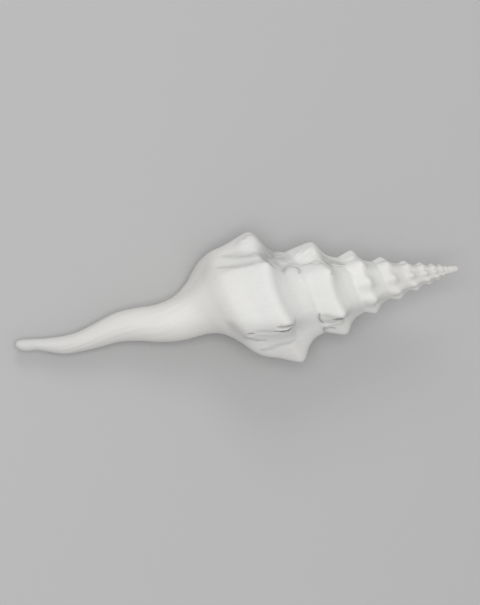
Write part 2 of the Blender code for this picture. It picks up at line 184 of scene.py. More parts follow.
# Scars, cracks, knobs and wrinkles on the outside: how far each one rises (below 0: how deep it
# lies), how dark it is painted (dirt and painted shade in the chips, scars and cracks; painted
# shade in the hollows, valleys, folds and wrinkles), and its line of (angle, distance from the
# apex, half width).
MARKS = [
    # The long chip below the corner of the third node: a trough, its bright lip and a deep score,
    # darkened partly by dirt and partly by painted shade.
    (-0.00040, 0.55, [(-24.0, 0.0740, 0.0003), (-24.0, 0.0725, 0.0006), (-24.6, 0.0688, 0.0006),
                      (-26.0, 0.0680, 0.0003)]),
    (0.00024, 0.00, [(-27.0, 0.0750, 0.0002), (-27.4, 0.0733, 0.0004), (-27.6, 0.0708, 0.0003)]),
    (-0.00046, 0.90, [(-30.0, 0.0755, 0.0002), (-30.6, 0.0730, 0.0005), (-30.2, 0.0705, 0.0006),
                      (-28.4, 0.0688, 0.0004)]),
    (-0.00025, 0.40, [(-23.5, 0.0668, 0.0004), (-26.5, 0.0670, 0.0005), (-29.0, 0.0676, 0.0005)]),
    # The thin ledge that runs from the chip towards the canal, over a shallow trough darkened with
    # painted shade.
    (0.00014, 0.00, [(-31.5, 0.0700, 0.0004), (-33.5, 0.0735, 0.0005), (-35.4, 0.0763, 0.0005),
                     (-33.8, 0.0812, 0.0005)]),
    (-0.00016, 0.12, [(-30.1, 0.0760, 0.0008), (-28.9, 0.0812, 0.0008)]),
    # The small scar where that ledge ends, darkened partly by dirt and partly by painted shade, its
    # bright lip, and the groove below it, darkened with painted shade.
    (-0.00025, 0.60, [(-31.4, 0.0848, 0.0004), (-31.4, 0.0830, 0.0004)]),
    (0.00030, 0.00, [(-36.4, 0.0853, 0.0003), (-36.8, 0.0842, 0.0004), (-36.6, 0.0832, 0.0003)]),
    (-0.00024, 0.35, [(-41.5, 0.0850, 0.0006), (-43.0, 0.0838, 0.0007), (-46.0, 0.0818, 0.0008),
                      (-48.0, 0.0785, 0.0005)]),
    # The groove of growth beside the fourth node's rib, darkened with painted shade.
    (-0.00034, 0.22, [(-64.2, 0.0797, 0.0008), (-62.5, 0.0768, 0.0009), (-58.3, 0.0745, 0.0008),
                      (-55.1, 0.0719, 0.0007), (-53.5, 0.0693, 0.0006), (-53.5, 0.0676, 0.0003)]),
    # The crack under the second row's lower node, with painted shade above it, its pale edge, and
    # the hook at its end; the crack and the hook are darkened partly by dirt and partly by painted
    # shade.
    (-0.00020, 0.16, [(-33.0, 0.0553, 0.0009), (-36.0, 0.0525, 0.0011), (-38.0, 0.0498, 0.0009)]),
    (-0.00050, 0.85, [(-42.5, 0.0524, 0.0003), (-42.0, 0.0508, 0.0007), (-39.8, 0.0494, 0.0009),
                      (-43.0, 0.0480, 0.0006)]),
    (0.00042, 0.00, [(-55.5, 0.0562, 0.0003), (-60.0, 0.0542, 0.0003), (-58.5, 0.0520, 0.0005),
                     (-54.0, 0.0506, 0.0006), (-53.0, 0.0492, 0.0006), (-58.0, 0.0479, 0.0004)]),
    (-0.00034, 0.40, [(-66.0, 0.0552, 0.0005), (-71.0, 0.0540, 0.0008), (-73.0, 0.0515, 0.0007)]),
    (-0.00026, 0.50, [(-64.0, 0.0551, 0.0003), (-75.0, 0.0551, 0.0003)]),
    (-0.00032, 0.55, [(-29.5, 0.0569, 0.0003), (-34.0, 0.0571, 0.0005), (-40.0, 0.0569, 0.0004),
                      (-48.0, 0.0562, 0.0003), (-54.0, 0.0554, 0.0002)]),
    (0.00016, 0.00, [(-68.0, 0.0461, 0.0003), (-64.4, 0.0453, 0.0003), (-61.2, 0.0435, 0.0003),
                     (-46.0, 0.0417, 0.0003)]),
    # The hooked fold above the second row's upper node, and two short ones beside it, darkened with
    # painted shade.
    (-0.00040, 0.40, [(66.5, 0.0512, 0.0008), (60.3, 0.0500, 0.0011), (51.0, 0.0491, 0.0010),
                      (45.5, 0.0484, 0.0007)]),
    (-0.00020, 0.30, [(41.0, 0.0534, 0.0004), (48.0, 0.0514, 0.0004)]),
    (-0.00024, 0.30, [(48.5, 0.0467, 0.0004), (47.7, 0.0452, 0.0004)]),
    # The arched fold where the body whorl laps on to the second row, darkened with painted shade.
    (-0.00034, 0.34, [(34.5, 0.0676, 0.0008), (42.5, 0.0666, 0.0010), (48.0, 0.0655, 0.0011),
                      (49.0, 0.0638, 0.0009), (46.0, 0.0617, 0.0006), (41.1, 0.0611, 0.0006),
                      (35.2, 0.0614, 0.0005)]),
    # The hollows beside the suture, between the two upper nodes of the last rows, darkened with
    # painted shade.
    (-0.00120, 0.45, [(66.0, 0.0722, 0.0016), (53.0, 0.0732, 0.0019), (42.0, 0.0738, 0.0014),
                      (35.0, 0.0720, 0.0009)]),
    (-0.00075, 0.20, [(112.0, 0.0696, 0.0018), (88.0, 0.0690, 0.0022), (68.0, 0.0696, 0.0020),
                      (50.0, 0.0690, 0.0014)]),
    (-0.00030, 0.34, [(76.0, 0.0716, 0.0024), (69.0, 0.0685, 0.0034), (66.0, 0.0655, 0.0024)]),
    (-0.00070, 0.40, [(74.0, 0.0500, 0.0016), (68.0, 0.0476, 0.0021), (62.0, 0.0446, 0.0016)]),
    # The valley between the third node's rib and the canal, and the one above the second row's rib,
    # both darkened with painted shade.
    (-0.00050, 0.28, [(-20.0, 0.0904, 0.0013), (-29.0, 0.0886, 0.0022), (-42.0, 0.0858, 0.0020)]),
    (-0.00030, 0.14, [(55.0, 0.0637, 0.0010), (57.0, 0.0599, 0.0011), (50.0, 0.0564, 0.0011),
                      (42.0, 0.0540, 0.0008)]),
    # The broad wrinkles between the first two nodes, their valleys darkened with painted shade.
    (-0.00044, 0.20, [(69.0, 0.0875, 0.0010), (64.0, 0.0840, 0.0016), (58.0, 0.0810, 0.0018),
                      (54.0, 0.0785, 0.0014)]),
    (0.00018, 0.00, [(67.0, 0.0915, 0.0008), (58.5, 0.0859, 0.0012), (50.0, 0.0809, 0.0012),
                     (43.5, 0.0757, 0.0008)]),
    (-0.00050, 0.20, [(53.4, 0.0908, 0.0009), (45.8, 0.0852, 0.0015), (40.8, 0.0800, 0.0016),
                      (37.5, 0.0750, 0.0012), (36.0, 0.0724, 0.0008)]),
    (0.00022, 0.00, [(38.0, 0.0931, 0.0006), (38.0, 0.0897, 0.0010), (39.4, 0.0872, 0.0011),
                     (38.0, 0.0840, 0.0009), (35.0, 0.0805, 0.0007)]),
    # The swollen sides of the upper nodes of the last two rows, each with a valley below it that is
    # faintly darkened with painted shade.
    (0.00120, 0.00, [(73.0, 0.0755, 0.0024), (71.0, 0.0800, 0.0024)]),
    (-0.00040, 0.05, [(57.0, 0.0750, 0.0014), (59.0, 0.0790, 0.0016)]),
    (0.00080, 0.00, [(73.0, 0.0540, 0.0020), (70.0, 0.0600, 0.0019)]),
    (-0.00050, 0.05, [(54.0, 0.0535, 0.0012), (52.0, 0.0600, 0.0013)]),
    (0.00050, 0.00, [(70.0, 0.0392, 0.0014), (68.0, 0.0430, 0.0013)]),
    # Pimples that catch the light, and a dimple beside the last one, painted dark.
    (0.00024, 0.00, [(19.3, 0.0883, 0.0004), (19.3, 0.0877, 0.0004)]),
    (0.00018, 0.00, [(7.6, 0.0868, 0.0004), (5.6, 0.0864, 0.0004)]),
    (0.00024, 0.00, [(22.0, 0.0509, 0.0003), (20.6, 0.0509, 0.0003)]),
    (-0.00014, 0.50, [(21.4, 0.0502, 0.0003), (20.4, 0.0501, 0.0003)]),
]
# A mark is felt over so many of its half widths.
MARK_REACH = 3.0
# How far the edges of the marks wander, how often, how unevenly deep that leaves them, and the seed
# of that noise, without which each run would differ.
RAGGED = 0.00022
RAGGED_DETAIL = 620.0
RAGGED_DEPTH = 0.45
RAGGED_SEED = 11
# Where the painted dirt and shade of the marks are looked for: from and to distance, and the angle
# on either side of the back.
MARK_ZONE = (0.030, 0.098, 95.0)
# Where the mesh is finer for the marks: from and to angle, from and to distance, times halved.
FINE_ZONES = [
    ((-47.0, -18.0), (0.0655, 0.0862), 2),
    ((-78.0, -27.0), (0.0440, 0.0577), 1),
    ((30.0, 70.0), (0.0445, 0.0680), 1),
]

# The folds (rugae) of growth, broad and fine: degrees across, waves to a whorl, their place in the
# noise, and height on the last whorl. They bend by so many degrees, at so many waves to a whorl.
RUGAE = [(9, 1.3, 0.0, 0.00010), (3.5, 2.5, 5.0, 0.00003)]
RUGAE_BEND = (9, 2)
# They fade between these distances, by this share, so that the canal is nearly smooth.
RUGAE_FADE = (0.088, 0.106)
RUGAE_FADING = 0.85
# The canal's own faint folds, which run aslant along it: height, degrees across, slant, detail, and
# place in the noise.
CANAL_FOLDS = 0.00012
CANAL_FOLD_WIDTH = 11
CANAL_FOLD_SLANT = 160
CANAL_FOLD_DETAIL = 55
CANAL_FOLD_PLACE = 9.0
CANAL_FOLD_STARTS = (0.098, 0.112)
CANAL_FOLD_ENDS = (0.150, 0.164)
# All these folds fade out where the shell is thinner than this radius.
RELIEF_RADIUS = 0.004

# The glaze beside the inner lip: height, degrees from the lip where it is full, where it thins and
# where it ends, how far and over how many rows that edge waves, and the rows over which it starts.
CALLUS_HEIGHT = 0.00035
CALLUS_ANGLES = (3.0, 9.0, 14.0)
CALLUS_WAVE = 2
CALLUS_WAVE_ROWS = 5
CALLUS_START_ROWS = 8
# The fine ridges (lirae) inside the outer lip: how many, their height, and the degrees inside the
# lip between which they rise, and between which they end.
LIRAE = 13
LIRA_HEIGHT = 0.00028
LIRA_ANGLES = (3.0, 9.0, 45.0, 90.0)
# Columns inside the lip over which the gloss of porcelain comes on.
POLISH_STARTS = 4.0

# Shade painted on the ramps, which turn away from the light: the phases from the keel between which
# it ends, at the keel and at the next suture, its strength on the old whorls and on the last, and
# the angles between which that changes.
RAMP_KEEL_PHASES = (-0.10, -0.02)
RAMP_SUTURE_PHASES = (0.44, 0.53)
RAMP_SHARES = (0.50, 0.18)
RAMP_ANGLES = (-330.0, -200.0)

# Colours.
WHITE = (0.765, 0.765, 0.750, 1.0)
WARM_WHITE = (0.740, 0.715, 0.690, 1.0)
SPIRE_WHITE = (0.805, 0.800, 0.780, 1.0)
# Painted shade on the ramps, which turn away from the light.
RAMP_SHADE_GREY = (0.670, 0.672, 0.655, 1.0)
ROOT_WHITE = (0.765, 0.745, 0.715, 1.0)
CANAL_GREY = (0.635, 0.633, 0.622, 1.0)
APEX_GREY = (0.655, 0.645, 0.625, 1.0)
LINE_GREY = (0.560, 0.550, 0.530, 1.0)
PORCELAIN = (0.820, 0.800, 0.770, 1.0)
# Dirt in the scars and cracks, and painted shade in them and in the hollows, valleys, folds and
# wrinkles.
DIRT_AND_PAINTED_SHADE = (0.200, 0.195, 0.185, 1.0)
FLOOR_GREY = (0.50, 0.50, 0.50, 1.0)
STUDIO_WHITE = (1.0, 1.0, 1.0, 1.0)

# Noise of the material, as scale and detail, and how growth's own noise is stretched.
CLOUD_GRAIN = (42.0, 3.0)
SPOT_GRAIN = (700.0, 2.0)
ROUGH_GRAIN = (160.0, 3.0)
PORE_GRAIN = (950.0, 3.0)
LINE_GRAIN = (1.0, 4.0)
LINE_STRETCH = (230.0, 5.0, 1.0)
THREAD_GRAIN = (1.0, 2.0)
THREAD_STRETCH = (4.0, 95.0, 1.0)
# How the noise, or the place along X, becomes the share of a colour: from, from, to, to.
CLOUD_RANGE = (0.42, 0.66, 0.0, 0.65)
ROOT_RANGE = (0.004, -0.018, 0.0, 0.8)
CANAL_RANGE = (-0.022, -0.084, 0.0, 1.0)
SPIRE_RANGE = (0.018, 0.034, 0.0, 1.0)
APEX_RANGE = (0.045, 0.083, 0.0, 0.9)
LINE_RANGE = (0.50, 0.75, 0.0, 0.12)
SPOT_RANGE = (0.62, 0.78, 0.0, 0.16)
# Roughness from its noise, the roughness of the porcelain inside, and the gloss of both.
ROUGH_RANGE = (0.3, 0.7, 0.46, 0.60)
POLISHED_ROUGHNESS = 0.24
SPECULAR_LEVEL = 0.35
# Strength and height of the bumps.
LINE_BUMP = (0.10, 0.0004)
THREAD_BUMP = (0.07, 0.0004)
PORE_BUMP = (0.12, 0.0003)

# Mesh lines. Rows count from the suture under the body whorl's side: the whorls are below 0, the
# base reaches from 0 to BASE_ROWS, and the canal follows. Columns count round the last turn.
ROWS_PER_WHORL = 40
COLUMNS_PER_TURN = 256
EDGE_COLUMNS = 6
BASE_ROWS = 36
CANAL_ROWS = 60
CANAL_ROW_CROWDING = 0.5
CAVITY_COLUMNS = 64
FIRST_ROW_DISTANCE = 0.0030
# Keeps a row on its whorl where its number divides evenly.
ROW_SLACK = 0.0001
# On the old whorls one column in so many is kept, from so many whorls back.
SPARE_COLUMNS = [(2, 2.0), (4, 4.5)]
MERGE_DISTANCE = 0.000008

# The way it lies: where its apex is, and how it is rolled about the coiling axis and tipped.
APEX_PLACE = (0.08407, -0.00171, 0.02977)
LIE_ROLL = 1.6
LIE_PITCH = -10.1

# The photograph's view of the shell's back: how far the camera stands towards the canal's side,
# how the shell's axis turns in the picture, which point of the shell is in the middle, and how much
# of its plane the picture's height takes in.
VIEW_TIP = 6.0
VIEW_TURN = 10.1
VIEW_MIDDLE = (-0.0826, -0.0128)
VIEW_HEIGHT = 0.2281
CAMERA_DISTANCE = 1.5
SENSOR_HEIGHT = 36.0
CLIP_START = 0.05

# The studio. Each light: its direction and distance in the picture's own frame, size and power.
FRONT_LIGHT = ((0.0, 0.0, 1.2), 0.6, 6.0)
TOP_LIGHT = ((0.0, 0.95, 0.75), 0.5, 2.2)
STUDIO_STRENGTH = 0.49
FLOOR_HALF_WIDTH = 3.0
FLOOR_ROUGHNESS = 0.9


def smooth_curve(points):
    """A function that passes smoothly through (position, value) points."""
    places = [place for place, _ in points]
    values = [value for _, value in points]
    slopes = []
    for i in range(len(points)):
        before = max(i - 1, 0)
        after = min(i + 1, len(points) - 1)
        slopes.append((values[after] - values[before]) / (places[after] - places[before]))

    def value_at(place):
        place = min(max(place, places[0]), places[-1])
        i = min(max(bisect.bisect_right(places, place) - 1, 0), len(places) - 2)
        step = places[i + 1] - places[i]
        s = (place - places[i]) / step
        return (values[i] * (1 + 2 * s) * (1 - s) ** 2 + values[i + 1] * s * s * (3 - 2 * s)
                + step * (slopes[i] * s * (1 - s) ** 2 - slopes[i + 1] * s * s * (1 - s)))

    return value_at


def smooth_step(low, high, value):
    """0 below low, 1 above high, and an S curve between."""
    s = min(max((value - low) / (high - low), 0.0), 1.0)
    return s * s * (3 - 2 * s)


def smooth_max(a, b, width):
    """The larger of two lengths, rounded where they cross."""
    if width <= 0.0:
        return max(a, b)
    share = max(width - abs(a - b), 0.0) / width
    return max(a, b) + width * share * share / 4


def blend(a, b, share):
    """The value a share of the way from a to b."""
    return a + (b - a) * share


whorl_outline = smooth_curve(WHORL_OUTLINE)
flat_share = smooth_curve(FLAT_SHARE)
node_rounding = smooth_curve(NODE_ROUNDING)
keel_shift = smooth_curve(KEEL_SHIFT)
keel_slope = smooth_curve(KEEL_SLOPE)
apex_cone = smooth_curve(APEX_CONE)
canal_radius = smooth_curve(CANAL_RADIUS)
canal_bend = smooth_curve(CANAL_BEND)
canal_lift = smooth_curve(CANAL_LIFT)
columella_radius = smooth_curve(COLUMELLA_RADIUS)


def all_nodes():
    """Every node as (angle, hollow on its older side), oldest first."""
    nodes = list(NODES_BY_AGE)
    while nodes[-1][0] > OLDEST_ANGLE:
        nodes.append((nodes[-1][0] - NODE_SPACING, OLDEST_HOLLOW))
    return sorted(nodes)


NODES = all_nodes()
NODE_ANGLES = [angle for angle, _ in NODES]


def node_flat(angle, rounding):
    """How far the keel lies below its nodes at an angle: the chord between two, and a hollow."""
    i = min(max(bisect.bisect_right(NODE_ANGLES, angle), 1), len(NODES) - 1)
    older = NODE_ANGLES[i - 1]
    newer, hollow = NODES[i]
    from_node = min(angle - older, newer - angle)
    half_gap = (newer - older) / 2
    rounded = half_gap * ((math.hypot(from_node, rounding) - rounding / 2)
                          / (math.hypot(half_gap, rounding) - rounding / 2))
    chord = math.cos(math.radians(half_gap)) / math.cos(math.radians(half_gap - rounded))
    across = (angle - older) / (newer - older)
    return 1 - chord + hollow * math.sin(math.pi * across) ** 2


def keel_distance(angle):
    """Distance of the keel from the apex at an angle of growth."""
    return KEEL_DISTANCE * WHORL_GROWTH ** ((angle - KEEL_ANGLE) / 360)


def node_shape(angle):
    """How much rounder, fuller, more leaning and higher the shell is near a special node."""
    shape = Vector((0.0, 0.0, 0.0, 0.0))
    for node, *its_shape in SPECIAL_NODES:
        shape += Vector(its_shape) * (1 - smooth_step(0.0, SPECIAL_REACH, abs(angle - node)))
    return shape


def coil_radius(angle, distance):
    """Radius of the coiled whorls at one angle of growth, with no later whorl over them."""
    radius = 0.0
    while angle > OLDEST_ANGLE:
        keel = keel_distance(angle)
        keel *= 1 + keel_shift(keel)
        share = distance / keel
        if share > WHORL_OUTLINE[-1][0]:
            break
        if share > WHORL_OUTLINE[0][0]:
            rounder, fuller, leaning, higher = node_shape(angle)
            old = smooth_step(*OLD_NODE_ANGLES, angle)
            if share > 1:
                share = 1 + (share - 1) * (1 - fuller * (1 - smooth_step(*FULLER_ENDS, share)))
            else:
                share = 1 + (share - 1) * (1 - OLD_NODE_BROADENING * old)
            share += leaning + OLD_NODE_LEANING * old
            rounding = node_rounding(share) * (1 + rounder) * (1 + OLD_NODE_ROUNDING * old)
            flat = node_flat(angle, rounding)
            share /= 1 + SHOULDER_SAG * flat * flat_share(share)
            drawn_in = smooth_step(*DRAW_IN_SHARES, share) * smooth_step(*DRAW_IN_ANGLES, angle)
            share *= 1 + LIP_DRAW_IN * drawn_in
            soft = SOFT_OUTLINE * rounder
            outline = (whorl_outline(share - soft) + 2 * whorl_outline(share)
                       + whorl_outline(share + soft)) / 4
            higher *= 1 - smooth_step(*SPECIAL_HEIGHT_ENDS, share)
            whorl = outline * (1 + higher) * (1 - flat_share(share) * flat)
            suture = blend(*SUTURE_BLENDS, smooth_step(*SUTURE_BLEND_ANGLES, angle)) * keel
            radius = smooth_max(radius, keel * keel_slope(keel) * whorl, suture)
        angle -= 360
    return radius


def pillar_radius(distance):
    """Radius of the canal, with its rounded end, and of the pillar inside the body whorl."""
    to_tip = max(LENGTH - distance, 0.0)
    rounding = min(to_tip / TIP_ROUNDING, 1.0)
    return canal_radius(distance) * math.sqrt(rounding * (2 - rounding))


def outer_radius(angle, distance):
    """Radius of the shell's outside at an angle of growth."""
    coil = coil_radius(angle, distance)
    if distance < APEX_CONE_ENDS[1]:
        cone = blend(apex_cone(distance), coil, smooth_step(*APEX_CONE_ENDS, distance))
        rounding = min(distance / APEX_ROUNDING, 1.0)
        return cone * math.sqrt(rounding * (2 - rounding))
    width = CANAL_BLEND * smooth_step(*CANAL_BLEND_STARTS, distance)
    width *= min((LENGTH - distance) / CANAL_BLEND_ENDS, 1.0)
    return smooth_max(coil, pillar_radius(distance), width)


LIE = (Matrix.Translation(APEX_PLACE)
       @ Matrix.Rotation(math.radians(LIE_PITCH), 4, "Y")
       @ Matrix.Rotation(math.radians(LIE_ROLL), 4, "X"))


def place(angle, radius, distance):
    """A point of the lying shell, from its angle about the axis, its radius and its distance."""
    turn = math.radians(angle)
    return LIE @ Vector((-distance,
                         canal_bend(distance) + radius * math.sin(turn),
                         canal_lift(distance) + radius * math.cos(turn)))


FIRST_PHASE = math.log(FIRST_ROW_DISTANCE / keel_distance(LIP_ANGLE)) / math.log(WHORL_GROWTH)
FIRST_ROW = math.floor((FIRST_PHASE - SUTURE_PHASE) * ROWS_PER_WHORL)
LIP_TOP_ROW = -ROWS_PER_WHORL
LAST_ROW = BASE_ROWS + CANAL_ROWS
COLUMNS = COLUMNS_PER_TURN + 2 * EDGE_COLUMNS


def row_distance(row, angle):
    """Distance from the apex of a mesh row, at an angle of growth.

    The rows of the whorls wind with them. Below the last suture they straighten out by CANAL_MOUTH.
    """
    if row <= 0:
        wound = keel_distance(angle) * WHORL_GROWTH ** (SUTURE_PHASE + row / ROWS_PER_WHORL)
        return max(wound - FIRST_ROW_DISTANCE * math.exp(1 - wound / FIRST_ROW_DISTANCE), 0.0)
    if row <= BASE_ROWS:
        share = row / BASE_ROWS
        top = keel_distance(angle) * WHORL_GROWTH ** SUTURE_PHASE
        return top ** (1 - share) * CANAL_MOUTH ** share
    share = (row - BASE_ROWS) / CANAL_ROWS
    crowded = 1 + CANAL_ROW_CROWDING - CANAL_ROW_CROWDING * share ** 2
    return CANAL_MOUTH + (LENGTH - CANAL_MOUTH) * share * crowded


def seam_angles(row):
    """First and last angle of growth of a mesh row: the inner lip's and the outer lip's."""
    towards_slot = smooth_step(0, BASE_ROWS, row)
    distance = row_distance(row, LIP_ANGLE)
    half_slot = 0.0
    if row > 0:
        half_slot = math.degrees(SLOT_WIDTH / 2 / max(pillar_radius(distance), SLOT_WIDTH))
    slot_turn = SLOT_ANGLE - LIP_ANGLE
    outer = LIP_ANGLE + towards_slot * (slot_turn - half_slot)
    inner = LIP_ANGLE - 360 + towards_slot * (slot_turn + half_slot)
    return inner, outer


def column_angle(column, row):
    """Angle of growth of a corner of the outside's mesh."""
    inner, outer = seam_angles(row)
    return blend(inner, outer, (column - EDGE_COLUMNS) / COLUMNS_PER_TURN)


def growth_place(angle, row):
    """Angle of growth on a point's own whorl, and its phase from the keel in whorls."""
    if row > 0:
        distance = row_distance(row, angle)
        return angle, math.log(distance / keel_distance(angle)) / math.log(WHORL_GROWTH)
    whorl = math.ceil(row / ROWS_PER_WHORL - ROW_SLACK)
    return angle + 360 * whorl, SUTURE_PHASE + row / ROWS_PER_WHORL - whorl


# How far along the axis each mark can reach.
MARK_SPANS = [(min(point[1] - MARK_REACH * point[2] for point in line),
               max(point[1] + MARK_REACH * point[2] for point in line)) for _, _, line in MARKS]


def relief(angle, row, distance):
    """Height of the fine sculpture at a point of the outside."""
    growth_angle, phase = growth_place(angle, row)
    if growth_angle < OLDEST_ANGLE:
        return 0.0
    size = keel_distance(growth_angle) / KEEL_DISTANCE
    bent = growth_angle + RUGAE_BEND[0] * math.sin(RUGAE_BEND[1] * phase)
    rugae = sum(noise.noise(Vector((bent / width, waves * phase, noise_place))) * height
                for width, waves, noise_place, height in RUGAE)
    rugae *= 1 - RUGAE_FADING * smooth_step(*RUGAE_FADE, distance)
    folds = noise.noise(Vector((angle / CANAL_FOLD_WIDTH + distance * CANAL_FOLD_SLANT,
                                distance * CANAL_FOLD_DETAIL, CANAL_FOLD_PLACE)))
    folds *= CANAL_FOLDS
    folds *= (smooth_step(*CANAL_FOLD_STARTS, distance)
              * (1 - smooth_step(*CANAL_FOLD_ENDS, distance)))
    return rugae * size + folds


def marks_at(angle, distance, radius):
    """Height, and darkness of dirt and painted shade, that the scars, knobs and wrinkles give a
    point of the outside.
    """
    height = 0.0
    unpainted = 1.0
    ragged = noise.noise_vector(Vector((distance, math.radians(angle) * radius, 0.0))
                                * RAGGED_DETAIL)
    # Each mark darkens the point by its share of dirt and painted shade.
    for (rise, dirt_and_shade_share, line), (low, high) in zip(MARKS, MARK_SPANS):
        if not low < distance < high:
            continue
        nearest = MARK_REACH
        for start, end in zip(line, line[1:]):
            along = (end[1] - start[1], math.radians(end[0] - start[0]) * radius)
            away = (distance - start[1] + RAGGED * ragged.x,
                    math.radians(angle - start[0]) * radius + RAGGED * ragged.y)
            length = along[0] ** 2 + along[1] ** 2
            share = min(max((along[0] * away[0] + along[1] * away[1]) / length, 0.0), 1.0)
            gap = math.hypot(away[0] - along[0] * share, away[1] - along[1] * share)
            nearest = min(nearest, gap / blend(start[2], end[2], share))
        if nearest < MARK_REACH:
            strength = math.exp(-nearest ** 2) * (1 + RAGGED_DEPTH * ragged.z)
            height += rise * strength
            unpainted *= 1 - dirt_and_shade_share * strength
    return height, 1 - unpainted


def callus_height(angle, row):
    """Height of the glaze that the animal laid beside the inner lip."""
    inner, _ = seam_angles(row)
    wave = CALLUS_WAVE * math.sin(row / CALLUS_WAVE_ROWS)
    beside = 1 - smooth_step(*CALLUS_ANGLES[1:], angle - inner + wave)
    beside *= smooth_step(0.0, CALLUS_ANGLES[0], angle - inner)
    return CALLUS_HEIGHT * beside * smooth_step(LIP_TOP_ROW, LIP_TOP_ROW + CALLUS_START_ROWS, row)


def outside_point(column, row):
    """A point of the outside: the edge columns at both ends turn inwards at the lips."""
    inner, outer = seam_angles(row)
    inwards = 0.0
    swing = 0.0
    thickness = 0.0
    if column < EDGE_COLUMNS:
        inwards = 1 - column / EDGE_COLUMNS
        angle = inner
        swing = SLOT_ANGLE - 360 - inner
    elif column > COLUMNS - EDGE_COLUMNS:
        inwards = 1 - (COLUMNS - column) / EDGE_COLUMNS
        angle = outer
        swing = SLOT_ANGLE - outer
        thickness = LIP_THICKNESS * smooth_step(LIP_TOP_ROW, LIP_TOP_ROW + ROWS_PER_WHORL / 2, row)
    else:
        angle = blend(inner, outer, (column - EDGE_COLUMNS) / COLUMNS_PER_TURN)
    distance = row_distance(row, angle)
    on_seam = column >= COLUMNS - EDGE_COLUMNS and row <= LIP_TOP_ROW
    radius = outer_radius(angle - 360 if on_seam else angle, distance)
    radius += relief(angle, row, distance) * smooth_step(0.0, RELIEF_RADIUS, radius)
    radius += marks_at(angle, distance, radius)[0] + callus_height(angle, row)
    radius = max(radius, 0.0)
    if inwards == 0.0 or radius == 0.0:
        return place(angle, radius, distance)
    in_slot = smooth_step(CANAL_MOUTH - SLOT_END, CANAL_MOUTH, distance)
    floor = blend(radius - thickness, SLOT_FLOOR * pillar_radius(distance), in_slot)
    drop = (1 - math.cos(math.pi * inwards)) / 2
    bulge = math.degrees(thickness / 2 / radius) * math.sin(math.pi * inwards)
    angle += blend(bulge, swing * inwards, in_slot)
    return place(angle, blend(radius, floor, drop), distance)


def cavity_point(column, row):
    """A point of the cavity, which winds back from the aperture under the body whorl.

    Columns run from the outer lip along the outer wall to the cavity's end, and back over the
    whorl beneath and the columella to the inner lip. Both sides meet along the first and last row,
    and all rows meet at the cavity's end.
    """
    if column == 0:
        return outside_point(COLUMNS, row)
    if column == CAVITY_COLUMNS:
        return outside_point(0, max(row, 0))
    half = CAVITY_COLUMNS // 2
    if column == half:
        row = (LIP_TOP_ROW + BASE_ROWS) // 2
    inwards = 1 - abs(column - half) / half
    turn_back = CAVITY_TURN * math.sin(math.pi / 2 * inwards ** CAVITY_CROWDING)
    settled = smooth_step(*CAVITY_SETTLES, turn_back)
    shrink = WHORL_GROWTH ** (-turn_back / 360)

    # Where this row leaves the outer lip, and where it ends up inside.
    _, lip = seam_angles(row)
    at_lip = row_distance(row, lip)
    top = row_distance(LIP_TOP_ROW, LIP_ANGLE)
    share = (at_lip - top) / (CANAL_MOUTH - top)
    inside = blend(top + POSTERIOR_INSET, CANAL_MOUTH - ANTERIOR_INSET, share)
    in_slot = smooth_step(CANAL_MOUTH - SLOT_END, CANAL_MOUTH, at_lip)
    if column <= half:
        start = blend(lip, SLOT_ANGLE, in_slot)
        distance = blend(at_lip, inside, settled) * shrink
    else:
        inner, _ = seam_angles(max(row, 0))
        start = blend(blend(inner + 360, SLOT_ANGLE, in_slot), lip, settled * (1 - in_slot))
        distance = blend(row_distance(max(row, 0), inner), inside, settled) * shrink
    angle = start - turn_back

    beneath = max(coil_radius(angle - 360, distance), columella_radius(distance))
    rim = blend(outer_radius(angle - 360, distance), SLOT_FLOOR * pillar_radius(distance), in_slot)
    floor = blend(rim, beneath, settled)
    thickness = blend(LIP_THICKNESS, WALL_THICKNESS * shrink, settled)
    lirate = (smooth_step(*LIRA_ANGLES[:2], turn_back)
              * (1 - smooth_step(*LIRA_ANGLES[2:], turn_back)))
    lirate *= max(math.cos(2 * math.pi * LIRAE * share), 0.0) ** 2 * (1 - in_slot)
    thickness += LIRA_HEIGHT * lirate * math.sin(math.pi * min(max(share, 0.0), 1.0))
    wall = max(outer_radius(angle, distance) - thickness, floor + CAVITY_MIN_GAP)
    corner = smooth_step(0.0, CAVITY_CORNER_SHARE, min(share, 1 - share))
    opening = blend(1.0, corner, settled)
    opening *= math.sqrt(1 - inwards ** 4)
    if row in (LIP_TOP_ROW, BASE_ROWS):
        opening = 0.0
    closing = smooth_step(*CAVITY_CLOSING_SHARES, share)
    closed = blend(blend(floor, wall, 0.5), floor, closing)
    return place(angle, blend(closed, wall if column <= half else floor, opening), distance)


def flat_sheet(columns, first_row, last_row):
    """A flat sheet of squares, in which x is the column and y the row."""
    sheet = bmesh.new()
    rows = last_row - first_row
    bmesh.ops.create_grid(sheet, x_segments=columns, y_segments=rows, size=0.5)
    for corner in sheet.verts:
        corner.co.x = round((corner.co.x + 0.5) * columns)
        corner.co.y = first_row + round((corner.co.y + 0.5) * rows)
    return sheet


def leave_out_lines(sheet, spare):
    """Takes mesh lines out of a flat sheet and keeps every corner on its outer edge."""
    bmesh.ops.dissolve_edges(sheet, edges=[edge for edge in sheet.edges if spare(edge)])
    passed = [corner for corner in sheet.verts
              if len(corner.link_edges) == 2 and not corner.is_boundary]
    bmesh.ops.dissolve_verts(sheet, verts=passed)


def spare_in_old_whorls(every, whorls_back):
    """Picks the columns that whorls this far back don't need: all but one in so many."""
    newest_row = -round(whorls_back * ROWS_PER_WHORL)

    def spare(edge):
        a, b = edge.verts
        if a.co.x != b.co.x or max(a.co.y, b.co.y) > newest_row:
            return False
        column = a.co.x - EDGE_COLUMNS
        return 0 < column < COLUMNS_PER_TURN and column % every != 0

    return spare


